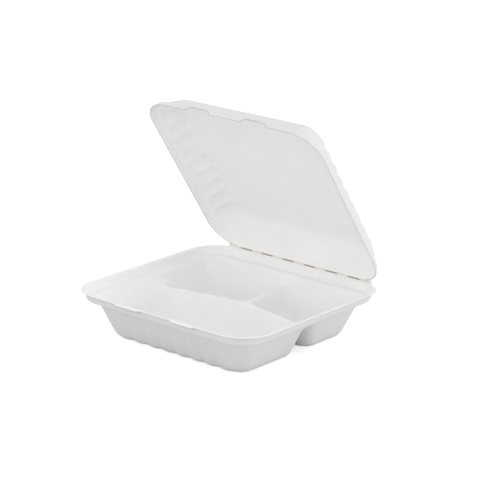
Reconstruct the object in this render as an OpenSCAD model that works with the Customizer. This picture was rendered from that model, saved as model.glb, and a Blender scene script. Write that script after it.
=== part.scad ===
// Moulded pulp meal box: a base with three pockets and a shallow lid, joined by a fold along the back.
// Millimetres. X runs along the fold, Y from the front to the fold, Z up from the table.
// The origin is under the middle of the base. The lid stands open as it is used.

/* [Base] */
// Width of the base's rim along the fold
base_w = 230; // [215:1:250]
// Depth of the base's rim from the front to the fold
base_l = 220; // [205:1:240]
// Height of the base from the table to the rim
base_h = 47; // [42:0.5:56]
// Corner radius of the base's rim
base_r = 35; // [30:1:40]
// Thickness of the moulded wall
wall = 0.8; // [0.6:0.1:1.2]
// Width of the flat land around the rim
land_w = 2.8; // [2:0.1:4]
// Radius of the soft shoulder inside the land
shoulder_r = 2; // [1:0.1:3]
// Depth of the step below the rim
step_d = 8.5; // [6:0.5:11]
// Inward lean of the step's wall
step_lean = 0.9; // [0.4:0.1:2]
// Width of the ledge at the foot of the step
ledge_w = 9.8; // [6:0.1:12]
// Lean of the outer walls from upright, in degrees
draft = 22.8; // [16:0.2:25]
// Corner radius of the outer walls at the ledge
wall_r = 21; // [18:0.5:26]
// Corner radius that the outer walls lose per millimetre of depth
wall_r_fall = 0.2; // [0.1:0.02:0.26]
// Radius where the walls meet the floor
foot_r = 8; // [4:0.5:10]

/* [Dividers] */
// Depth of the dividers' crest below the rim
crest_d = 19; // [14:0.5:24]
// Width of a divider across its crest
crest_w = 3.4; // [2.8:0.1:6]
// Size of the soft edge along a crest
crest_soft = 1.2; // [0.6:0.1:1.3]
// Lean of the dividers' walls from upright, in degrees
divider_draft = 15; // [8:0.5:18]
// Distance of the dividers' meeting point behind the middle
meet_y = 26.5; // [10:0.5:34]
// Forward sweep of the cross divider per millimetre towards a side
sweep = 0.26; // [0:0.02:0.3]
// Pocket corner radius where a divider meets an outer wall
divider_r = 12.5; // [8:0.5:14]
// Pocket corner radius where the dividers meet each other
meet_r = 7; // [6:0.5:9]

/* [Lid] */
// Distance of the lid's rim inside the base's rim at each side
lid_side_in = 7.5; // [5.5:0.5:10]
// Distance of the lid's rim inside the base's rim at the front
lid_front_in = 8; // [5.5:0.5:10]
// Corner radius of the lid's rim
lid_r = 31; // [28:0.5:36]
// Height of the lid above its rim
lid_h = 27.5; // [24:0.5:34]
// Width of the narrow edge outside the lid's step
lid_edge = 0.5; // [0.2:0.1:1.2]
// Height of the lid's step
lid_step_h = 7; // [5:0.5:9]
// Inward lean of the lid's step
lid_step_lean = 2.1; // [1:0.1:3]
// Inward jog above the lid's step
lid_jog = 2.9; // [1.5:0.1:4]
// Height of the jog
lid_jog_h = 1.5; // [0.8:0.1:2]
// Distance of the top panel's side edges inside the lid's rim
top_side_in = 21; // [18:0.5:26]
// Distance of the top panel's front edge inside the lid's rim
top_front_in = 17; // [14:0.5:24]
// Distance of the top panel's back edge inside the lid's rim
top_back_in = 21.5; // [18:0.5:26]
// Corner radius of the top panel
top_r = 9; // [8:0.5:14]
// Height of the knee where the lid's walls turn steeper
knee_h = 22; // [16:0.5:22]
// Share of the walls' lean that is reached at the knee
knee_part = 0.78; // [0.6:0.02:0.84]
// Size of the soft edge round the top panel
top_soft = 1.5; // [0.8:0.1:2]
// Opening of the lid from closed, in degrees
lid_open = 54.8; // [0:0.2:180]

/* [Flutes] */
// Number of flutes in the base's front wall
flute_n = 8; // [4:1:8]
// Spacing of the base's flutes
flute_pitch = 18; // [14:0.5:18]
// Depth of a flute
flute_d = 1.4; // [0.6:0.1:2]
// Number of flutes in each side wall of the lid
lid_flute_n = 9; // [5:1:9]
// Number of flutes in the lid's back wall
lid_back_flute_n = 9; // [5:1:9]
// How far the end flutes of a lid wall run into its rounded corners
lid_flute_past = 2; // [0:0.5:2.5]

/* [Fold and locks] */
// Length of the folding strip
strip_l = 184; // [160:2:190]
// Clear gap between the two rims when the box is shut
fold_gap = 0.3; // [0.3:0.1:1]
// Number of slits along the fold
slit_n = 6; // [3:1:6]
// Length of a slit
slit_l = 14.5; // [8:0.5:20]
// Width of a slit
slit_w = 1.5; // [0.8:0.1:2]
// Spacing of the slits
slit_pitch = 27.8; // [22:0.2:30]
// Distance of a lock tab's middle from the middle of the front
tab_x = 35; // [26:1:44]
// Length of a lock tab
tab_w = 29.5; // [20:0.5:34]
// Reach of a lock tab beyond the rim
tab_out = 2; // [1:0.5:3]
// Droop of a lock tab's edge
tab_droop = 1; // [0.4:0.2:2]
// Clearance of a lock tab in its notch, at each end
tab_clear = 0.25; // [0.1:0.05:1]
// Height of a lid notch
notch_h = 7.3; // [5:0.1:8.5]
// Length of the rounded end of a lid notch
notch_round = 14; // [8:0.5:16]

/* [Hidden] */
facets = 32;
// Thickness of the slices that a hull joins
slice = 0.01;
// How far neighbouring flutes of the lid run into each other
flute_lap = 0.1;
// How far a cut runs past the face it opens
past = 1;

y_front = -base_l / 2;
y_fold = base_l / 2;
fold_z = base_h + fold_gap / 2;
step_in = land_w + shoulder_r + step_lean;
ledge_in = step_in + ledge_w;
floor_d = base_h - wall;
foot_turn = 90 - draft;

lid_w = base_w - 2 * lid_side_in;
lid_front = y_front + lid_front_in;
lid_mid_y = (lid_front + y_fold) / 2;
lid_wall_in = lid_edge + lid_step_lean + lid_jog;
lid_wall_z = lid_step_h + lid_jog_h;
lid_wall_r = lid_r - lid_wall_in;
// Spacing of the lid's flutes, which share the straight run of each wall
lid_side_pitch = (y_fold - lid_front - 2 * lid_r + 2 * lid_flute_past) / lid_flute_n;
lid_back_pitch = (lid_w - 2 * lid_r + 2 * lid_flute_past) / lid_back_flute_n;

// Step of the base: inset from the rim and depth below it
STEP = concat(
    [[land_w, -past], [land_w, 0]],
    [for (a = [30, 60, 90]) [land_w + shoulder_r * sin(a), shoulder_r * (1 - cos(a))]],
    [[step_in, step_d]]
);
// Turns at which the foot's round is sliced, from the wall down to the floor
FOOT = [foot_turn, foot_turn * 0.66, foot_turn * 0.33, 0];
// Soft edge along the crests: share of its depth and of its width that is left
SOFT = [[0, 1], [0.3, 0.35], [1, 0]];

function unit(v) = v / norm(v);
// Corners of an upright outline of width w from y0 to y1, drawn in by a side, front and back inset
function outline(w, y0, y1, s, f, b) = [
    [s - w / 2, y0 + f], [w / 2 - s, y0 + f], [w / 2 - s, y1 - b], [s - w / 2, y1 - b]
];
// Centre of the circle of radius r that rounds corner i of the convex outline p
function round_at(p, i, r) =
    let (n = len(p))
    let (a = unit(p[(i + 1) % n] - p[i]))
    let (b = unit(p[(i + n - 1) % n] - p[i]))
    p[i] + unit(a + b) * r / sqrt((1 - a * b) / 2);

// Outer wall of the base at depth d: inset and corner radius
function wall_in(d) = ledge_in + tan(draft) * (d - step_d);
function corner_r(d) = wall_r - wall_r_fall * (d - step_d);
// Half width of a divider at depth d
function half_divider(d) = crest_w / 2 + tan(divider_draft) * (d - crest_d);
// Line of a divider's wall on the cross divider, k is 1 behind it and -1 before it
function cross_y(x, h, k) = meet_y - sweep * x + k * h * sqrt(1 + sweep * sweep);
// Extra inset of the foot's round at turn b, and its height above the floor
function foot_in(b) = foot_r * (tan(foot_turn / 2) - sin(b)) + tan(draft) * foot_rise(b);
function foot_rise(b) = foot_r * (1 - cos(b));

function front_pocket(d, h) =
    let (x = base_w / 2 - wall_in(d), y = y_front + wall_in(d))
    [[-x, y], [x, y], [x, cross_y(x, h, -1)], [0, cross_y(0, h, -1)], [-x, cross_y(x, h, -1)]];
function front_radii(d) = [corner_r(d), corner_r(d), divider_r, meet_r, divider_r];
function back_pocket(d, h) =
    let (x = base_w / 2 - wall_in(d), y = y_fold - wall_in(d))
    [[h, cross_y(h, h, 1)], [x, cross_y(x, h, 1)], [x, y], [h, y]];
function back_radii(d) = [meet_r, divider_r, corner_r(d), divider_r];

// Slices of a pocket: depth, half width of the dividers, extra inset
POCKET = concat(
    [for (s = SOFT) [crest_d + s[0] * crest_soft, half_divider(crest_d) - s[1] * crest_soft
        + (half_divider(crest_d + crest_soft) - half_divider(crest_d)) * s[0], 0]],
    [for (b = FOOT) [floor_d - foot_rise(b), half_divider(floor_d - foot_rise(b)), foot_in(b)]]
);

// Insets of the lid's wall at height z: side, front and back
function lean_part(z) = z <= knee_h
    ? knee_part * (z - lid_wall_z) / (knee_h - lid_wall_z)
    : knee_part + (1 - knee_part) * (z - knee_h) / (lid_h - knee_h);
function lid_in(z) = [for (t = [top_side_in, top_front_in, top_back_in])
    lid_wall_in + (t - lid_wall_in) * lean_part(z)];
function lid_corner_r(z) = lid_wall_r + (top_r - lid_wall_r) * (z - lid_wall_z) / (lid_h - lid_wall_z);

// Slices of the lid: height, the three insets and the corner radius
LID = concat(
    [[0, lid_edge * [1, 1, 1], lid_r - lid_edge]],
    [[lid_step_h, (lid_edge + lid_step_lean) * [1, 1, 1], lid_r - lid_edge - lid_step_lean]],
    [for (z = [lid_wall_z, knee_h, lid_h - top_soft]) [z, lid_in(z), lid_corner_r(z)]],
    [[lid_h - 0.3 * top_soft, lid_in(lid_h) + 0.3 * top_soft * [1, 1, 1], top_r]],
    [[lid_h, lid_in(lid_h) + top_soft * [1, 1, 1], top_r - 0.7 * top_soft]]
);

module ring(p, r, z, g) {
    for (i = [0 : len(p) - 1]) {
        c = round_at(p, i, r[i]);
        translate([c[0], c[1], z]) cylinder(h = slice, r = r[i] + g, $fn = facets);
    }
}

module flute_slice(x, y, z, sx, sy) {
    translate([x, y, z]) scale([sx, sy, 1]) cylinder(h = slice, r = 1, $fn = 24);
}

module step_ring(s, g) {
    q = outline(base_w, y_front, y_fold, s[0], s[0], s[0]);
    ring(q, (base_r - s[0]) * [1, 1, 1, 1], base_h - s[1] - g, g);
}

module tray_ring(d, g) {
    q = outline(base_w, y_front, y_fold, wall_in(d), wall_in(d), wall_in(d));
    ring(q, corner_r(d) * [1, 1, 1, 1], base_h - d - g, g);
}

module front_flute(x, g) {
    top = step_d + wall / 2;
    low = floor_d - foot_rise(foot_turn) - foot_r / 5;
    end = floor_d - foot_rise(foot_turn * 0.5);
    hull() {
        flute_slice(x, y_front + wall_in(top), base_h - top - g, flute_pitch / 2 + g, flute_d + g);
        flute_slice(x, y_front + wall_in(low), base_h - low - g, flute_pitch / 2 + g, flute_d + g);
        flute_slice(x, y_front + wall_in(end) + foot_in(foot_turn * 0.5), base_h - end - g,
            flute_pitch / 2 - flute_d, flute_d / 4 + g);
    }
}

// Hollow of the base, and with g its outer skin
module base_form(g) {
    first = g > 0 ? 1 : 0;
    for (i = [first : len(STEP) - 2]) {
        hull() {
            step_ring(STEP[i], g);
            step_ring(STEP[i + 1], g);
        }
    }
    hull() {
        tray_ring(step_d, g);
        tray_ring(crest_d, g);
    }
    for (i = [0 : len(POCKET) - 2]) {
        a = POCKET[i];
        b = POCKET[i + 1];
        hull() {
            ring(front_pocket(a[0], a[1]), front_radii(a[0]), base_h - a[0] - g, g - a[2]);
            ring(front_pocket(b[0], b[1]), front_radii(b[0]), base_h - b[0] - g, g - b[2]);
        }
        for (m = [0, 1]) {
            mirror([m, 0, 0]) hull() {
                ring(back_pocket(a[0], a[1]), back_radii(a[0]), base_h - a[0] - g, g - a[2]);
                ring(back_pocket(b[0], b[1]), back_radii(b[0]), base_h - b[0] - g, g - b[2]);
            }
        }
    }
    for (i = [0 : flute_n - 1]) {
        front_flute((i - (flute_n - 1) / 2) * flute_pitch, g);
    }
}

// Half of the folding strip, from the rim to just short of the fold line
module strip(z) {
    translate([-strip_l / 2, y_fold - base_r / 4, z])
        cube([strip_l, base_r / 4 - fold_gap / 2, wall]);
}

module slits(z) {
    for (i = [0 : slit_n - 1]) {
        translate([(i - (slit_n - 1) / 2) * slit_pitch - slit_l / 2, y_fold - slit_w / 2, z - past])
            cube([slit_l, slit_w, wall + 2 * past]);
    }
}

module tab(x) {
    hull() {
        translate([x - tab_w / 2, y_front, base_h - wall]) cube([tab_w, land_w, wall]);
        translate([x - tab_w / 2 + tab_out, y_front - tab_out, base_h - wall - tab_droop])
            cube([tab_w - 2 * tab_out, slice, wall]);
    }
}

module rim_plate(w, y0, r, z) {
    translate([0, 0, z]) linear_extrude(wall) hull() {
        for (c = outline(w, y0, y_fold - fold_gap, r, r, r)) {
            translate(c) circle(r = r, $fn = facets);
        }
    }
}

module base() {
    color([0.93, 0.93, 0.92]) difference() {
        union() {
            rim_plate(base_w, y_front, base_r, base_h - wall);
            strip(base_h - wall);
            for (k = [-1, 1]) {
                tab(k * tab_x);
            }
            base_form(wall);
        }
        base_form(0);
        slits(base_h - wall);
    }
}

module lid_ring(s, g) {
    q = outline(lid_w, lid_front, y_fold, s[1][0], s[1][1], s[1][2]);
    ring(q, s[2] * [1, 1, 1, 1], s[0] + g, g);
}

// One flute of a side wall, k is 1 on the right and -1 on the left, or of the back wall at k = 0
module lid_flute(at, k, g) {
    half = (k == 0 ? lid_back_pitch : lid_side_pitch) / 2 + (g + flute_lap) / 2;
    for (zz = [[lid_wall_z, knee_h], [knee_h, lid_h - top_soft]]) {
        hull() {
            for (z = zz) {
                if (k == 0) {
                    flute_slice(at, y_fold - lid_in(z)[2] + g, z + g, half, flute_d);
                } else {
                    flute_slice(k * (lid_w / 2 - lid_in(z)[0] + g), lid_mid_y + at, z + g, flute_d, half);
                }
            }
        }
    }
}

// Outer skin of the shut lid above its rim, and with a negative g its hollow
module lid_form(g) {
    for (i = [0 : len(LID) - 2]) {
        hull() {
            lid_ring(LID[i], g);
            lid_ring(LID[i + 1], g);
        }
    }
    for (i = [0 : lid_flute_n - 1]) {
        for (k = [-1, 1]) {
            lid_flute((i - (lid_flute_n - 1) / 2) * lid_side_pitch, k, g);
        }
    }
    for (i = [0 : lid_back_flute_n - 1]) {
        lid_flute((i - (lid_back_flute_n - 1) / 2) * lid_back_pitch, 0, g);
    }
}

// Opening in the front of the lid that takes a lock tab: square at its left end, rounded at its right
module notch(x) {
    full = tab_w + 2 * tab_clear;
    translate([x - full / 2, lid_front - past, 0]) rotate([90, 0, 0]) mirror([0, 0, 1])
        linear_extrude(past + lid_wall_in) union() {
            translate([0, -past]) square([full - notch_round, notch_h + past]);
            translate([0, -past]) square([full, past]);
            intersection() {
                translate([full - notch_round, 0]) scale([notch_round / notch_h, 1]) circle(r = notch_h, $fn = 64);
                square([full, notch_h]);
            }
        }
}

module shut_lid() {
    difference() {
        union() {
            rim_plate(lid_w, lid_front, lid_r, 0);
            strip(0);
            lid_form(0);
        }
        lid_form(-wall);
        slits(0);
        for (k = [-1, 1]) {
            notch(k * tab_x);
        }
    }
}

module lid() {
    color([0.91, 0.92, 0.94]) translate([0, y_fold, fold_z]) rotate([-lid_open, 0, 0])
        translate([0, -y_fold, fold_gap / 2]) shut_lid();
}

base();
lid();
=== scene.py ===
"""Moulded pulp meal box with three pockets, its lid standing open on a slitted fold."""
import math

import bpy
import numpy as np
from mathutils import Matrix


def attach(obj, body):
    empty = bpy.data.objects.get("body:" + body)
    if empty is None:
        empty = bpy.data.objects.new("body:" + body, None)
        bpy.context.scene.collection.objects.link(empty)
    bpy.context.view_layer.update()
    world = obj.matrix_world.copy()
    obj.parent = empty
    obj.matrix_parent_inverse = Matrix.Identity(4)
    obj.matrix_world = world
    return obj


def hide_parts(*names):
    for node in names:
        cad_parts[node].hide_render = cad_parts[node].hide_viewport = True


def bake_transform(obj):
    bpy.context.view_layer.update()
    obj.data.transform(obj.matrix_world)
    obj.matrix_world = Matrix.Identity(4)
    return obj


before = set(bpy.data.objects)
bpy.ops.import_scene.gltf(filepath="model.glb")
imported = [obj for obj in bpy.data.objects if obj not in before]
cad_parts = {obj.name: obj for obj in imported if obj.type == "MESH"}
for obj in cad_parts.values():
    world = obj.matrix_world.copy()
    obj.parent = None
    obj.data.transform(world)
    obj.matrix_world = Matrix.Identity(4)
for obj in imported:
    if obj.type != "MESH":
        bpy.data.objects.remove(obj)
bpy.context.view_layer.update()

MM = 0.001

# Sizes in millimetres, the part's own where its source has them
BASE_W, BASE_L, BASE_H, BASE_R = 230.0, 220.0, 47.0, 35.0
WALL = 0.8
STEP_D, LEDGE_IN = 8.5, 15.5
DRAFT = math.tan(math.radians(22.8))
WALL_R, WALL_R_FALL = 21.0, 0.2
CREST_HALF = 1.7
DIVIDER_DRAFT = math.tan(math.radians(15.0))
MEET_Y, SWEEP = 26.5, 0.26
DIVIDER_R, MEET_R, FRONT_MEET_R = 12.5, 7.0, 5.0
FLOOR_D = BASE_H - WALL
CREST_D, CREST_DIP, CREST_REACH = 18.3, 2.0, 50.0
CREST_ROUND, WALL_ROUND, FOOT_ROUND, STEP_ROUND = 4.5, 5.0, 8.0, 2.6
TRAY_TOP_D, POCKET_TOP_D, BELOW_FLOOR = 2.0, 8.0, 16.0
DEPTH_LAYERS = 49
BASE_FLUTE_D, BASE_FLUTE_PITCH, BASE_FLUTE_N, BASE_FLUTE_FADE = 2.2, 18.0, 8, (50, 70)
FLUTE_BLUNT = 0.06
LID_OPEN = math.radians(54.8)
FOLD_Y, FOLD_GAP = 110.0, 0.3
FOLD_Z = BASE_H + FOLD_GAP / 2
BASE_EDGE_Y, LID_EDGE_Y = FOLD_Y - 1.2, FOLD_Y - 0.9
TINT_NEAR, TINT_FAR, TINT_PAST = 1.4, 4.6, 3
STRIP_HALF = 92.0
SLIT_N, SLIT_L, SLIT_PITCH = 6, 14.5, 27.8
TAB_X, TAB_W, TAB_OUT, TAB_DROOP = 35.0, 29.5, 1.5, 0.7
LID_HALF, LID_FRONT, LID_R, LID_H = 107.5, -102.0, 31.0, 27.5
LID_FLUTE_D, LID_FLUTE_PITCH, LID_FLUTE_N = 1.9, 17.8, 9
LID_FLUTE_RISE, LID_FLUTE_FALL = (7.8, 12.5), (25.4, 27.5)
WALL_FOOT_Z, WALL_BEND_Z, WALL_FOOT_R = 8.5, 22, 25.5
PANEL_R, ROUND_RUN, BACK_SLOPE = 13.0, 6.0, 0.62
NOTCH_W, NOTCH_ROUND, NOTCH_TOP = 30.0, 14.0, 6.95

# Camera: yaw, pitch and roll in degrees, place in metres, lens in millimetres
CAMERA_ANGLES = (39.320, 17.334, 1.153)
CAMERA_PLACE = (1.257532, -1.504148, 0.702957)
CAMERA_LENS, CAMERA_SHIFT_X = 151.82, 0.00065


def unit(v):
    return v / np.linalg.norm(v)


def smooth_min(a, b, m):
    """Lower of two heights with a rounded join of width m."""
    m = np.maximum(m, 1e-6)
    h = np.clip(m - np.abs(a - b), 0, None) / m
    return np.minimum(a, b) - h * h * m / 4


def smooth_max(a, b, m):
    return -smooth_min(-a, -b, m)


def ease(x, low, high):
    t = np.clip((x - low) / (high - low), 0, 1)
    return t * t * (3 - 2 * t)


# Outlines

def rounded_distance(x, y, corners, radii):
    """Signed distance to a convex outline with rounded corners, below zero inside it."""
    corners = np.asarray(corners, float)
    n = len(corners)
    sides = []
    for i in range(n):
        along = unit(corners[(i + 1) % n] - corners[i])
        sides.append(np.array([along[1], -along[0]]))
    far = np.full(x.shape, -1e9)
    for i in range(n):
        from_side = (x - corners[i][0]) * sides[i][0] + (y - corners[i][1]) * sides[i][1]
        far = np.maximum(far, from_side)
    for i in range(n):
        before, after = sides[i - 1], sides[i]
        half = math.sqrt((1 + before @ after) / 2)
        centre = corners[i] - unit(before + after) * radii[i] / half
        dx, dy = x - centre[0], y - centre[1]
        turning = (before[0] * dy - before[1] * dx > 0) & (dx * after[1] - dy * after[0] > 0)
        far = np.where(turning, np.hypot(dx, dy) - radii[i], far)
    return far


def depth_of(x, y, outline, low, high):
    """Depth at which an outline that narrows downwards passes through each point."""
    # Read between the last layer that holds the point and the next one below it
    layers = np.linspace(low, high, DEPTH_LAYERS)
    distances = np.stack([rounded_distance(x, y, *outline(d)) for d in layers])
    inside = distances < 0
    count = inside.sum(0)
    k = np.clip(count - 1, 0, len(layers) - 2)
    near = np.take_along_axis(distances, k[None], 0)[0]
    far = np.take_along_axis(distances, (k + 1)[None], 0)[0]
    part = np.clip(near / np.where(np.abs(near - far) < 1e-9, 1, near - far), 0, 1)
    depth = layers[k] + part * (layers[1] - layers[0])
    return np.where(count == 0, low, np.where(count == len(layers), high, depth))


def wall_in(d):
    return LEDGE_IN + DRAFT * (d - STEP_D)


def wall_radius(d):
    return WALL_R - WALL_R_FALL * (d - STEP_D)


def cross_y(x, half, side):
    return MEET_Y - SWEEP * x + side * half * math.sqrt(1 + SWEEP * SWEEP)


def divider_half(d):
    return CREST_HALF + DIVIDER_DRAFT * (d - 19.0)


def tray_outline(d):
    x, y = BASE_W / 2 - wall_in(d), BASE_L / 2 - wall_in(d)
    return [(-x, -y), (x, -y), (x, y), (-x, y)], [wall_radius(d)] * 4


def front_outline(d):
    x, y, h = BASE_W / 2 - wall_in(d), BASE_L / 2 - wall_in(d), divider_half(d)
    side, middle = cross_y(x, h, -1), cross_y(0, h, -1)
    return ([(-x, -y), (x, -y), (x, side), (0, middle), (-x, side)],
            [wall_radius(d), wall_radius(d), DIVIDER_R, FRONT_MEET_R, DIVIDER_R])


def back_outline(d):
    x, y, h = BASE_W / 2 - wall_in(d), BASE_L / 2 - wall_in(d), divider_half(d)
    return ([(h, cross_y(h, h, 1)), (x, cross_y(x, h, 1)), (x, y), (h, y)],
            [MEET_R, DIVIDER_R, wall_radius(d), DIVIDER_R])


def flute_wave(s, pitch, count, shift=0.0):
    """Outward bulge of a fluted wall along s, from 0 in a valley to 1."""
    inside = np.abs(s) < pitch * count / 2
    valley = math.sqrt(FLUTE_BLUNT)
    wave = np.sqrt(np.cos(math.pi * (s / pitch + shift)) ** 2 + FLUTE_BLUNT) - valley
    return np.where(inside, wave / (math.sqrt(1 + FLUTE_BLUNT) - valley), 0.0)


def base_depth(x, y):
    """Depth of the base's upper surface below its rim, inside the ledge."""
    fade = ease(-y, *BASE_FLUTE_FADE)
    swell = BASE_FLUTE_D * flute_wave(x, BASE_FLUTE_PITCH, BASE_FLUTE_N, 0.5) * fade
    fluted_y = y + swell * fade
    deepest = FLOOR_D + BELOW_FLOOR
    outer = depth_of(x, fluted_y, tray_outline, TRAY_TOP_D, deepest)
    front = depth_of(x, fluted_y, front_outline, POCKET_TOP_D, deepest)
    back = np.maximum(depth_of(x, y, back_outline, POCKET_TOP_D, deepest),
                      depth_of(-x, y, back_outline, POCKET_TOP_D, deepest))
    pocket = np.maximum(front, back)
    # The dividers' crests dip where they meet
    crest = CREST_D + CREST_DIP * np.exp(-(np.hypot(x, y - MEET_Y) / CREST_REACH) ** 2)
    inner = smooth_max(crest, pocket, CREST_ROUND)
    apart = np.clip((outer - pocket) / 4, 0, 1)
    depth = smooth_min(outer, inner, WALL_ROUND * apart)
    depth = smooth_min(depth, np.full(x.shape, FLOOR_D), FOOT_ROUND)
    return smooth_max(depth, np.full(x.shape, STEP_D), STEP_ROUND)


def fold_light_share(points):
    """Share of painted fold light at each point of the open box: the thin creased pulp along the fold is
    painted pale and warm for light shining through it, against the crevice's shade.
    """
    away = np.hypot(points[:, 1] - FOLD_Y, points[:, 2] - FOLD_Z)
    return (1 - ease(away, TINT_NEAR, TINT_FAR)) * (np.abs(points[:, 0]) < STRIP_HALF + TINT_PAST)


# Meshes

def grid_faces(rows, columns, start=0, closed=False):
    """Quads of a grid of points stored row by row."""
    r = np.arange(rows - 1)[:, None]
    c = np.arange(columns if closed else columns - 1)[None, :]
    nxt = (c + 1) % columns
    a = start + r * columns + c
    b = start + r * columns + nxt
    return np.stack([a, b, b + columns, a + columns], -1).reshape(-1, 4)


def vertex_normals(points, faces):
    p = points[faces]
    n = np.cross(p[:, 2] - p[:, 0], p[:, 3] - p[:, 1])
    out = np.zeros_like(points)
    for k in range(4):
        np.add.at(out, faces[:, k], n)
    return out / np.maximum(np.linalg.norm(out, axis=1), 1e-12)[:, None]


def border_edges(faces):
    """Directed edges that only one face has."""
    e = np.concatenate([faces[:, [k, (k + 1) % 4]] for k in range(4)])
    e = e[e[:, 0] != e[:, 1]]
    key = np.sort(e, 1)
    _, index, count = np.unique(key, axis=0, return_inverse=True, return_counts=True)
    return e[count[index.ravel()] == 1]


def shell(points, other, faces):
    """Closed shell of two skins with the same faces, joined along their borders."""
    n = len(points)
    border = border_edges(faces)
    rim = np.stack([border[:, 1], border[:, 0], border[:, 0] + n, border[:, 1] + n], 1)
    return np.concatenate([points, other]), np.concatenate([faces, faces[:, ::-1] + n, rim])


def thicken(points, faces, extra=0.0):
    """Closed shell of a sheet as thick as the wall, with its second skin against the normals."""
    return shell(points, points - vertex_normals(points, faces) * WALL + extra, faces)


def make_piece(name, points, faces, marks):
    """Mesh object in metres from points in millimetres, with its marks as point values."""
    mesh = bpy.data.meshes.new(name)
    loops = []
    # A quad with two equal corners becomes a triangle
    for quad in faces.tolist():
        face = [quad[0]]
        for v in quad[1:]:
            if v != face[-1] and v != face[0]:
                face.append(v)
        if len(face) > 2:
            loops.append(face)
    mesh.from_pydata((points * MM).tolist(), [], loops)
    mesh.validate()
    for mark, values in marks.items():
        layer = mesh.attributes.new(mark, "FLOAT", "POINT")
        layer.data.foreach_set("value", values.astype(np.float32))
    mesh.polygons.foreach_set("use_smooth", [True] * len(mesh.polygons))
    mesh.update()
    piece = bpy.data.objects.new(name, mesh)
    bpy.context.scene.collection.objects.link(piece)
    return piece


# Base

def base_sheet():
    """Upper surface of the base as one sheet, with its underside's offset and its edge mark.

    The pockets and dividers lie on a grid, and the ledge, step and rim on rings round it.
    """
    start_in = LEDGE_IN - 1.5
    start_r = WALL_R + 1.5
    half_x, half_y = BASE_W / 2 - start_in, BASE_L / 2 - start_in
    core_x, core_y = half_x - start_r, half_y - start_r
    # Columns and rows lie close together over the crests and at the border
    near = np.arange(0, 3.2, 0.32)
    middle = np.linspace(3.3, half_x - 4.5, 80)
    edge = np.linspace(half_x - 4, half_x, 9)
    side = np.concatenate([near, middle, edge])
    xs = np.concatenate([-side[:0:-1], side])
    ys = np.concatenate([
        np.linspace(-half_y, 4 - half_y, 9), np.linspace(4.6 - half_y, MEET_Y - 4.2, 90),
        np.linspace(MEET_Y - 3.6, MEET_Y + 3.6, 14), np.linspace(MEET_Y + 4.2, half_y - 4.6, 50),
        np.linspace(half_y - 4, half_y, 9)])
    u, v = np.meshgrid(xs, ys)
    x, y = u.copy(), v.copy()
    # Corners of the square grid are drawn onto quarter discs
    a = np.clip((np.abs(u) - core_x) / start_r, 0, 1)
    b = np.clip((np.abs(v) - core_y) / start_r, 0, 1)
    corner = (a > 0) & (b > 0)
    x = np.where(corner, np.sign(u) * (core_x + start_r * a * np.sqrt(1 - b * b / 2)), x)
    y = np.where(corner, np.sign(v) * (core_y + start_r * b * np.sqrt(1 - a * a / 2)), y)
    # Rows follow the sweep of the cross divider
    follow = np.where(v < MEET_Y, (v + half_y) / (MEET_Y + half_y), (half_y - v) / (half_y - MEET_Y))
    bend_round = 6.0
    bend = SWEEP * (np.sqrt(x * x + bend_round) - math.sqrt(bend_round))
    y = y - bend * ease(half_x - np.abs(u), 0, 8) * follow
    z = BASE_H - base_depth(x, y)
    rows, columns = u.shape
    points = np.stack([x, y, z], -1).reshape(-1, 3)
    faces = grid_faces(rows, columns)
    # Loop of the grid's border, counter-clockwise from its front left corner
    i = np.arange(rows * columns).reshape(rows, columns)
    loop = np.concatenate([i[0, :-1], i[:-1, -1], i[-1, :0:-1], i[:0:-1, 0]])
    bx, by = points[loop, 0], points[loop, 1]
    px = np.clip(bx / core_x, -1, 1)
    py = np.clip(by / core_y, -1, 1)
    nx = (bx - px * core_x) / start_r
    ny = (by - py * core_y) / start_r
    size = np.hypot(nx, ny)
    nx, ny = nx / size, ny / size
    # Inset from the rim's edge and depth below it: ledge, step, rounded shoulder, rim land
    step_foot, land_in, shoulder = 6.35, 2.8, 2
    profile = [(12.5, STEP_D), (10.0, STEP_D), (8.0, STEP_D), (6.9, 8.48), (step_foot, 8.3),
               (6.0, 7.95), (5.75, 7.3), (5.5, 5.8), (5.2, 4.0), (4.95, 2.8), (4.8, 2.0)]
    profile += [(land_in + shoulder * math.sin(t), shoulder - shoulder * math.cos(t))
                for t in np.radians([67, 45, 22])]
    profile += [(land_in, 0.0), (1.5, 0.0), (0.45, 0.03), (0.12, 0.14), (0.0, 0.34)]
    tab = np.zeros(len(loop))
    for k in (-1, 1):
        from_tab = np.abs(bx * (BASE_W / 2 - BASE_R) / core_x - k * TAB_X)
        tab += ease(TAB_W / 2 - from_tab, -0.2, 1.6)
    tab *= (ny < -0.999)
    base = len(points)
    rings = []
    for inset, depth in profile:
        # The back edge stops short of the fold, where the folding strip takes over
        radius = BASE_R - inset
        if inset > step_foot:
            part = (start_in - inset) / (start_in - step_foot)
            radius = start_r + part * (BASE_R - step_foot - start_r)
        hx, hy = BASE_W / 2 - inset - radius, BASE_L / 2 - inset - radius
        rx, ry = px * hx + nx * radius, py * hy + ny * radius
        out = max(0.0, (land_in - inset) / land_in)
        ry = ry - tab * TAB_OUT * out
        ry = np.where(ry > BASE_EDGE_Y, BASE_EDGE_Y - 0.02 * (10 - out * 10), ry)
        rz = BASE_H - depth - tab * TAB_DROOP * out ** 2
        rings.append(np.stack([rx, ry, rz], -1))
    n = len(loop)
    points = np.concatenate([points] + rings)
    nxt = np.roll(np.arange(n), -1)
    joint = np.stack([loop, np.arange(n) + base, nxt + base, loop[nxt]], 1)
    ring_quads = grid_faces(len(profile), n, base, closed=True)[:, ::-1]
    faces = np.concatenate([faces, joint, ring_quads])
    extra = np.zeros_like(points)
    # Edge mark: the rim's edge gets a greyer tone, partly trimmed pulp and partly painted shade
    edge = np.zeros(len(points))
    # Under a lock tab the skin runs down to the step's wall
    for k, (inset, depth) in enumerate(profile):
        if inset < 3.4:
            rows_at = base + k * n + np.arange(n)
            extra[rows_at, 2] -= (0.1 + 2.6 * ease(inset, 0.0, land_in)) * tab
            edge[rows_at] = float(inset < 0.2)
    return points, faces, extra, edge


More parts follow.
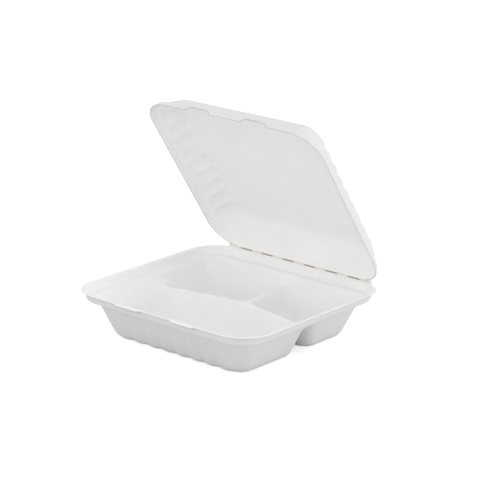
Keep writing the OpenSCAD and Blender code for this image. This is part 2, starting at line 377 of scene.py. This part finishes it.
def build_base():
    points, faces, extra, edge = base_sheet()
    n = len(points)
    points, faces = thicken(points, faces, extra)
    # The outer skin is marked for its painted shade and for the print in its bump
    under = np.concatenate([np.zeros(n), np.ones(n)])
    points[:, 2] = np.maximum(points[:, 2], 0.0)
    fold_light = fold_light_share(points)
    return make_piece("base_sheet", points, faces, {
        "under": under, "painted_fold_light": fold_light, "cut": np.zeros(len(points)),
        "edge": np.tile(edge, 2) * (1 - fold_light)})


# Lid

def lid_profile():
    """Outer surface of the shut lid from the rim to the top panel.

    Each row has a height, the insets at the side, the front and the back, and a corner radius.
    """
    rows = [(z, i, i, i, LID_R - i) for z, i in
            [(0.0, 0.12), (0.25, 0.0), (0.6, 0.04), (0.88, 0.26), (1.1, 0.62), (1.8, 0.86),
             (2.7, 1.12), (3.6, 1.4), (4.5, 1.7), (5.4, 2.0), (6.1, 2.28), (6.55, 2.5),
             (6.85, 2.8), (7.05, 3.3), (7.2, 4.0), (7.5, 4.8), (8.0, 5.3)]]
    wall_foot, wall_top = 5.5, (21.0, 17.0, 21.5)
    for z in [8.7, 9.6, 11, 13, 15.5, 18, 20.2, WALL_BEND_Z]:
        part = 0.78 * (z - WALL_FOOT_Z) / 13.5
        ins = [wall_foot + (top - wall_foot) * part for top in wall_top]
        radius = WALL_FOOT_R + (PANEL_R - WALL_FOOT_R) * (z - WALL_FOOT_Z) / 19
        rows.append((z, *ins, radius))
    # A wide round leads over from the wall to the panel
    start = rows[-1]
    for t in np.linspace(0, 1, 12)[1:]:
        at_wall, at_bend, at_panel = (1 - t) ** 2, 2 * t * (1 - t), t * t
        ins = [at_wall * a + at_bend * b + at_panel * (b + ROUND_RUN)
               for a, b in zip(start[1:4], wall_top)]
        height = WALL_BEND_Z * at_wall + LID_H * (at_bend + at_panel)
        rows.append((height, *ins, start[4] + (PANEL_R - start[4]) * t))
    # At the fold the wall rises without a step
    return [(z, s, f, max(b, BACK_SLOPE * z), r) for z, s, f, b, r in rows]


def lid_columns():
    """Places round the lid, counter-clockwise from the front left: core position and outward direction."""
    px, py, nx, ny = [], [], [], []
    core_x = LID_HALF - LID_R
    core_y = (FOLD_Y - LID_FRONT) / 2 - LID_R
    cuts = []
    for k in (-1, 1):
        for at in (k * TAB_X - NOTCH_W / 2, k * TAB_X + NOTCH_W / 2):
            cuts += [at - 0.02, at + 0.02]
    front = np.unique(np.concatenate([np.linspace(-core_x, core_x, 128), cuts]))
    keep = [front[0]]
    for t in front[1:]:
        if t - keep[-1] > 0.35 or any(abs(t - c) < 1e-9 for c in cuts):
            keep.append(t)
    front = np.array(keep)
    long = np.linspace(-1, 1, 129)
    turn = np.linspace(0, math.pi / 2, 33)

    def add(xs, ys, ax, ay):
        for values, more in zip((px, py, nx, ny), np.broadcast_arrays(xs, ys, ax, ay)):
            values.extend(more)

    add(front / core_x, -1.0, 0.0, -1.0)
    add(1.0, -1.0, np.sin(turn[1:-1]), -np.cos(turn[1:-1]))
    add(1.0, long, 1.0, 0.0)
    add(1.0, 1.0, np.cos(turn[1:-1]), np.sin(turn[1:-1]))
    add(-long, 1.0, 0.0, 1.0)
    add(-1.0, 1.0, -np.sin(turn[1:-1]), np.cos(turn[1:-1]))
    add(-1.0, -long, -1.0, 0.0)
    add(-1.0, -1.0, -np.cos(turn[1:-1]), -np.sin(turn[1:-1]))
    return [np.array(a, float) for a in (px, py, nx, ny)]


def notch_height(x):
    """Share of the notches' height at x: square at the left, a quarter ellipse at the right."""
    h = np.zeros_like(x)
    for k in (-1, 1):
        left = k * TAB_X - NOTCH_W / 2
        t = x - left
        flat = NOTCH_W - NOTCH_ROUND
        over = np.clip((t - flat) / NOTCH_ROUND, 0, 1)
        here = (t > 0) & (t < NOTCH_W)
        h = np.where(here, np.sqrt(np.clip(1 - over ** 2, 0, 1)), h)
    return h


def lid_sheet():
    """Outer surface of the shut lid as one sheet, with its edge mark."""
    px, py, nx, ny = lid_columns()
    n = len(px)
    rows = lid_profile()
    lid_middle = (LID_FRONT + FOLD_Y) / 2
    cut = notch_height(px * (LID_HALF - LID_R)) * (ny < -0.999) * NOTCH_TOP
    rings = []
    step_rows = [k for k, r in enumerate(rows) if r[0] < NOTCH_TOP]
    step_path = np.array([[rows[k][0], rows[k][1]] for k in step_rows])
    for k, (z, s, f, b, r) in enumerate(rows):
        zz = np.full(n, float(z))
        fs = np.full(n, float(f))
        if k in step_rows:
            # Over a notch the rows close up between its edge and the top of the step
            at = step_rows.index(k) / len(step_rows)
            lifted = cut + (NOTCH_TOP + 0.05 - cut) * at
            on = cut > 0.02
            zz = np.where(on, np.maximum(lifted, z), zz)
            fs = np.where(on, np.interp(zz, step_path[:, 0], step_path[:, 1]), fs)
        y0 = LID_FRONT + fs
        y1 = FOLD_Y - b
        hx = LID_HALF - s - r
        middle = (y0 + y1) / 2
        hy = (y1 - y0) / 2 - r
        x = px * hx + nx * r
        y = middle + py * hy + ny * r
        fade = ease(z, *LID_FLUTE_RISE) * (1 - ease(z, *LID_FLUTE_FALL))
        at_side = flute_wave(y - lid_middle, LID_FLUTE_PITCH, LID_FLUTE_N) * np.abs(nx) ** 2
        at_back = flute_wave(x, LID_FLUTE_PITCH, LID_FLUTE_N) * np.clip(ny, 0, 1) ** 2
        swell = np.where(np.abs(nx) > np.maximum(ny, 0), at_side * (ny > -0.75), at_back)
        x = x + nx * swell * LID_FLUTE_D * fade
        y = y + ny * swell * LID_FLUTE_D * fade
        y = np.minimum(y, LID_EDGE_Y - 0.02 * min(k, 5))
        rings.append(np.stack([x, y, zz], -1))
    # The panel closes in rings, and a fan at its middle
    last = rings[-1]
    centre = last.mean(0)
    for share in (0.9, 0.75, 0.55, 0.35, 0.15):
        rings.append(centre + (last - centre) * share)
    points = np.concatenate(rings + [centre[None]])
    faces = grid_faces(len(rings), n, 0, closed=True)
    inmost = (len(rings) - 1) * n
    tip = np.full(n, len(points) - 1)
    fan = np.stack([inmost + np.arange(n), inmost + (np.arange(n) + 1) % n, tip, tip], 1)
    # Edge mark: the rim's edge gets a greyer tone, partly trimmed pulp and partly painted shade
    edge = np.zeros(len(points))
    edge[:n * sum(r[0] < 0.7 for r in rows)] = 1
    return points, np.concatenate([faces, fan]), edge


def opened(points):
    """Points of the shut lid, with z from its rim's underside, turned to where the lid stands."""
    y = points[:, 1] - FOLD_Y
    z = points[:, 2] + FOLD_GAP / 2
    c, s = math.cos(LID_OPEN), math.sin(LID_OPEN)
    return np.stack([points[:, 0], FOLD_Y + y * c + z * s, FOLD_Z - y * s + z * c], -1)


def build_lid():
    points, faces, edge = lid_sheet()
    n = len(points)
    points, faces = thicken(points, faces)
    points[:, 2] = np.maximum(points[:, 2], 0.0)
    # The outer skin is marked for its painted shade and for the print in its bump
    under = np.concatenate([np.ones(n), np.zeros(n)])
    points = opened(points)
    fold_light = fold_light_share(points)
    return make_piece("lid_sheet", points, faces, {
        "under": under, "painted_fold_light": fold_light, "cut": np.zeros(len(points)),
        "edge": np.tile(edge, 2) * (1 - fold_light)})


# Fold

def corner_reach(x, half, radius):
    """How far a rim's rounded corner lies back from its straight edge at each x."""
    return radius - np.sqrt(radius ** 2 - (np.abs(x) - (half - radius)).clip(0) ** 2)


def build_fold():
    """Strip that joins both rims along the fold, with its slits."""
    starts = [(i - (SLIT_N - 1) / 2) * SLIT_PITCH - SLIT_L / 2 for i in range(SLIT_N)]
    end = 0.15
    ends = np.array([v for s in starts for v in (s, s + end, s + SLIT_L - end, s + SLIT_L)])
    xs = np.unique(np.round(np.concatenate([np.linspace(-STRIP_HALF, STRIP_HALF, 170), ends]), 4))
    lean = np.array([math.sin(LID_OPEN), math.cos(LID_OPEN)])
    along = np.array([-math.cos(LID_OPEN), math.sin(LID_OPEN)])
    turn_end = math.atan2(lean[1], lean[0])
    gap = FOLD_GAP / 2
    # The section's points as distances from the fold's axis, with both ends tucked into the sheets
    section = []
    tuck = [0.26, 0.26, 0.0, 0.0, 0.0, 0.0, 0.0]
    base_run = [2.6, 1.34, 1.18, 0.95, 0.75, 0.6, 0.35]
    lid_run = [0.35, 0.6, 0.75, 0.8, 0.86, 1.0, 1.5]
    turn = np.linspace(-math.pi / 2, turn_end, 7)
    for s, t in zip(base_run, tuck):
        section.append(((-s, -gap - t), (-s, -gap - WALL + t)))
    for t in turn:
        d = np.array([math.cos(t), math.sin(t)])
        section.append((tuple(d * gap), tuple(d * (gap + WALL))))
    for s, t in zip(lid_run, tuck[::-1]):
        section.append((tuple(lean * (gap + t) + along * s),
                        tuple(lean * (gap + WALL - t) + along * s)))
    inner = np.array([p[0] for p in section])
    outer = np.array([p[1] for p in section])
    sunk = np.zeros(len(section))
    sunk[len(base_run) - 2:len(section) - len(lid_run) + 2] = 1
    along_x = np.zeros(len(xs))
    for s in starts:
        along_x = np.where((xs > s + 0.05) & (xs < s + SLIT_L - 0.05), 1.0, along_x)
    # cut marks the slits, where shade is painted into the colour
    cut = sunk[:, None] * along_x[None, :]
    rows, columns = len(section), len(xs)
    runs = base_run + [0.0] * len(turn) + lid_run
    # Past the straight part of each rim the strip reaches back to the rounded corner
    reach_base = corner_reach(xs, BASE_W / 2, BASE_R)
    reach_lid = corner_reach(xs, LID_HALF, LID_R)

    def skin(path, other, depth):
        pts = np.zeros((rows, columns, 3))
        for k in range(rows):
            y = np.full(columns, path[k][0])
            z = np.full(columns, path[k][1])
            share = min(1.0, max(0.0, runs[k] - 0.35) / 0.65)
            if k < len(base_run):
                y = y - share * reach_base
            elif k >= rows - len(lid_run):
                y = y + share * reach_lid * along[0]
                z = z + share * reach_lid * along[1]
            # A slit is pressed nearly through, from both sides
            y = y + (other[k][0] - path[k][0]) * depth * cut[k]
            z = z + (other[k][1] - path[k][1]) * depth * cut[k]
            pts[k] = np.stack([xs, FOLD_Y + y, FOLD_Z + z], -1)
        return pts.reshape(-1, 3)

    points, faces = shell(skin(inner, outer, 0.35), skin(outer, inner, 0.25), grid_faces(rows, columns))
    return make_piece("fold_strip", points, faces, {
        "under": np.zeros(len(points)), "painted_fold_light": fold_light_share(points),
        "cut": np.tile(cut.ravel(), 2), "edge": np.zeros(len(points))})


# Materials

class Wire:
    """Socket of a shader tree that Python arithmetic extends with Math nodes."""

    def __init__(self, tree, socket):
        self.tree, self.socket = tree, socket

    def math(self, operation, *others, swap=False):
        node = self.tree.nodes.new("ShaderNodeMath")
        node.operation = operation
        values = [self, *others]
        if swap:
            values.reverse()
        for place, value in enumerate(values):
            if isinstance(value, Wire):
                self.tree.links.new(value.socket, node.inputs[place])
            else:
                node.inputs[place].default_value = value
        return Wire(self.tree, node.outputs[0])

    def __add__(self, other):
        return self.math("ADD", other)

    def __radd__(self, other):
        return self.math("ADD", other, swap=True)

    def __sub__(self, other):
        return self.math("SUBTRACT", other)

    def __rsub__(self, other):
        return self.math("SUBTRACT", other, swap=True)

    def __mul__(self, other):
        return self.math("MULTIPLY", other)

    def __rmul__(self, other):
        return self.math("MULTIPLY", other, swap=True)


class Finish:
    """Material whose nodes are made one at a time."""

    def __init__(self, name):
        self.material = bpy.data.materials.new(name)
        self.material.use_nodes = True
        self.tree = self.material.node_tree
        self.tree.nodes.clear()

    def node(self, kind, settings=None, output=0, **inputs):
        made = self.tree.nodes.new(kind)
        for key, value in (settings or {}).items():
            setattr(made, key, value)
        for key, value in inputs.items():
            name = key.replace("_", " ")
            numbered = key[0] == "i" and key[1:].isdigit()
            place = made.inputs[int(key[1:]) if numbered else name]
            if isinstance(value, Wire):
                self.tree.links.new(value.socket, place)
            else:
                place.default_value = value
        self.last = made
        return Wire(self.tree, made.outputs[output])

    def mix(self, part, a, b):
        """Colour from a to b by part."""
        return self.node("ShaderNodeMix", {"data_type": "RGBA"}, output=2, i0=part, i6=a, i7=b)

    def mark(self, name):
        """Value that a mesh holds at each point."""
        return self.node("ShaderNodeAttribute", {"attribute_name": name}, output=2)

    def noise(self, place, **inputs):
        return self.node("ShaderNodeTexNoise", {"noise_dimensions": "3D"}, Vector=place, **inputs)

    def bands(self, place, direction):
        return self.node("ShaderNodeTexWave", {"bands_direction": direction},
                         Vector=place, Scale=210.0, Distortion=0.6)

    def output(self, surface):
        out = self.tree.nodes.new("ShaderNodeOutputMaterial")
        self.tree.links.new(surface.socket, out.inputs["Surface"])
        return self.material


def linear(r, g, b):
    """Linear colour of sRGB values from 0 to 255."""
    out = []
    for value in (r, g, b):
        c = value / 255
        out.append(c / 12.92 if c <= 0.04045 else ((c + 0.055) / 1.055) ** 2.4)
    return (*out, 1.0)


def darker(colour, share):
    return tuple(c * share for c in colour[:3]) + (1.0,)


def pulp(name, inner, outer, painted_fold_light, slit_shade_colour, trim_tone_and_shade):
    """Moulded plant fibre: faint clouds and flecks, a fine felted surface, and the mould screen's print on
    the outer side.
    The outer side is painted in a shaded copy of the colour, the fold in painted light, the slits in
    painted shade, and the trimmed edges in a greyer tone that is partly painted shade."""
    f = Finish(name)
    place = f.node("ShaderNodeTexCoord", output=3)
    cloud = f.noise(place, Scale=38.0, Detail=4.0, Roughness=0.6)
    felt = f.noise(place, Scale=620.0, Detail=5.0, Roughness=0.65)
    stretch = f.node("ShaderNodeMapping", {"vector_type": "POINT"}, Vector=place,
                     Scale=(0.35, 1.0, 0.6), Rotation=(0.3, 0.2, 0.7))
    fibre = f.noise(stretch, Scale=1500.0, Detail=3.0, Distortion=1.2)
    under = f.mark("under")
    # Painted shade: the outer side gets a darker copy of the inner side's colour
    body = f.mix(under, inner, outer)
    body = f.mix((0.62 - cloud) * 0.5, body, darker(outer, 0.955))
    body = f.mix((0.56 - felt) * 0.7, body, darker(outer, 0.93))
    # Painted light: the fold is painted pale and warm for light shining through the thin pulp
    colour = f.mix(f.mark("painted_fold_light"), body, painted_fold_light)
    # Painted shade: the slits' pressed grooves are darkened brown for the shade between their lips
    colour = f.mix(f.mark("cut"), colour, slit_shade_colour)
    # Rim edges darker: partly the trimmed pulp's greyer tone, partly painted shade along the rim's edge
    colour = f.mix(f.mark("edge"), colour, trim_tone_and_shade)
    print_height = (f.bands(place, "X") + f.bands(place, "Y")) * under * 0.22
    height = felt * 0.55 + fibre * 0.45 + print_height
    bump = f.node("ShaderNodeBump", Height=height, Strength=0.35, Distance=0.00022)
    rough = 0.84 + (fibre - 0.5) * 0.16
    shader = f.node("ShaderNodeBsdfPrincipled", Base_Color=colour, Roughness=rough, Normal=bump)
    f.last.inputs["Specular IOR Level"].default_value = 0.28
    f.last.inputs["Sheen Weight"].default_value = 0.06
    f.last.inputs["Sheen Roughness"].default_value = 0.6
    return f.output(shader)


# Assembly

# inner is the pulp's lit colour and outer the same pulp in painted shade
pulp_finish = pulp("pulp", inner=linear(248, 248, 247), outer=linear(231, 230, 231),
                   painted_fold_light=linear(249, 247, 242), slit_shade_colour=linear(186, 176, 168),
                   trim_tone_and_shade=linear(216, 216, 217))

base_piece = build_base()
lid_piece = build_lid()
fold_piece = build_fold()
for piece, node, body in ((base_piece, "base", "base"), (lid_piece, "lid", "lid")):
    piece.data.materials.append(pulp_finish)
    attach(piece, body)
    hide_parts(node)
fold_piece.data.materials.append(pulp_finish)
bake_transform(fold_piece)


# Floor, light and camera

def build_floor():
    """Floor that looks white and keeps the object's shadow."""
    half = 4.0
    mesh = bpy.data.meshes.new("floor")
    corners = [(-half, -half, 0), (half, -half, 0), (half, half, 0), (-half, half, 0)]
    mesh.from_pydata(corners, [], [(0, 1, 2, 3)])
    floor = bpy.data.objects.new("floor", mesh)
    bpy.context.scene.collection.objects.link(floor)
    f = Finish("floor")
    path = f.node("ShaderNodeLightPath", output=0)
    glow = f.node("ShaderNodeEmission", Color=(1, 1, 1, 1), Strength=0.62)
    matt = f.node("ShaderNodeBsdfDiffuse", Color=(0.62, 0.62, 0.62, 1))
    seen = f.node("ShaderNodeAddShader", i0=glow, i1=matt)
    plain = f.node("ShaderNodeBsdfDiffuse", Color=(0.74, 0.74, 0.74, 1))
    surface = f.node("ShaderNodeMixShader", i0=path, i1=plain, i2=seen)
    mesh.materials.append(f.output(surface))


def add_area(name, place, aim, size, power):
    """Lamp of the given size at a place, turned to face its aim."""
    data = bpy.data.lights.new(name, "AREA")
    data.shape = "RECTANGLE"
    data.size, data.size_y = size
    data.energy = power
    lamp = bpy.data.objects.new(name, data)
    bpy.context.scene.collection.objects.link(lamp)
    away = unit(np.array(place, float) - np.array(aim, float))
    side = unit(np.cross([0.0, 0.0, 1.0], away))
    up = np.cross(away, side)
    m = np.eye(4)
    m[:3, 0], m[:3, 1], m[:3, 2], m[:3, 3] = side, up, away, place
    lamp.matrix_world = Matrix(m.tolist())


def build_world():
    """Even light of a room, behind which the camera and mirrors see white."""
    world = bpy.data.worlds.new("studio")
    bpy.context.scene.world = world
    world.use_nodes = True
    tree = world.node_tree
    tree.nodes.clear()
    path = tree.nodes.new("ShaderNodeLightPath")
    room = tree.nodes.new("ShaderNodeBackground")
    # The room is a little brighter at the horizon than overhead
    direction = tree.nodes.new("ShaderNodeTexCoord")
    split = tree.nodes.new("ShaderNodeSeparateXYZ")
    shade = tree.nodes.new("ShaderNodeMix")
    shade.data_type = "RGBA"
    shade.inputs[6].default_value = (1.06, 1.06, 1.06, 1)
    shade.inputs[7].default_value = (0.87, 0.87, 0.875, 1)
    tree.links.new(direction.outputs["Generated"], split.inputs[0])
    tree.links.new(split.outputs[2], shade.inputs[0])
    tree.links.new(shade.outputs[2], room.inputs["Color"])
    room.inputs["Strength"].default_value = 1.0
    white = tree.nodes.new("ShaderNodeBackground")
    white.inputs["Color"].default_value = (1, 1, 1, 1)
    white.inputs["Strength"].default_value = 1.0
    mix = tree.nodes.new("ShaderNodeMixShader")
    out = tree.nodes.new("ShaderNodeOutputWorld")
    either = tree.nodes.new("ShaderNodeMath")
    either.operation = "MAXIMUM"
    tree.links.new(path.outputs["Is Camera Ray"], either.inputs[0])
    tree.links.new(path.outputs["Is Glossy Ray"], either.inputs[1])
    tree.links.new(either.outputs[0], mix.inputs[0])
    tree.links.new(room.outputs[0], mix.inputs[1])
    tree.links.new(white.outputs[0], mix.inputs[2])
    tree.links.new(mix.outputs[0], out.inputs[0])


def build_camera():
    """Camera as fitted to the photograph."""
    yaw, pitch, roll = (math.radians(a) for a in CAMERA_ANGLES)
    forward = np.array([-math.sin(yaw) * math.cos(pitch), math.cos(yaw) * math.cos(pitch),
                        -math.sin(pitch)])
    right = np.array([math.cos(yaw), math.sin(yaw), 0.0])
    up = np.cross(right, forward)
    rolled_right = math.cos(roll) * right + math.sin(roll) * up
    rolled_up = -math.sin(roll) * right + math.cos(roll) * up
    data = bpy.data.cameras.new("camera")
    data.sensor_fit = "HORIZONTAL"
    data.sensor_width = 36.0
    data.lens = CAMERA_LENS
    data.shift_x = CAMERA_SHIFT_X
    data.clip_start, data.clip_end = 0.1, 30.0
    camera = bpy.data.objects.new("camera", data)
    bpy.context.scene.collection.objects.link(camera)
    m = np.eye(4)
    m[:3, 0], m[:3, 1], m[:3, 2] = rolled_right, rolled_up, -forward
    m[:3, 3] = CAMERA_PLACE
    camera.matrix_world = Matrix(m.tolist())
    bpy.context.scene.camera = camera


build_floor()
build_world()
add_area("key", (0.9, -0.5, 2.0), (0, 0, 0.05), (1.2, 1.2), 1.2)
add_area("front", (0.2, -2.4, 0.3), (0, 0, 0.08), (1.2, 0.6), 3.5)
add_area("side", (2.0, 1.3, 0.25), (0, 0, 0.03), (0.9, 0.4), 8.0)
build_camera()
bpy.context.scene.view_settings.view_transform = "Standard"

bpy.context.view_layer.update()
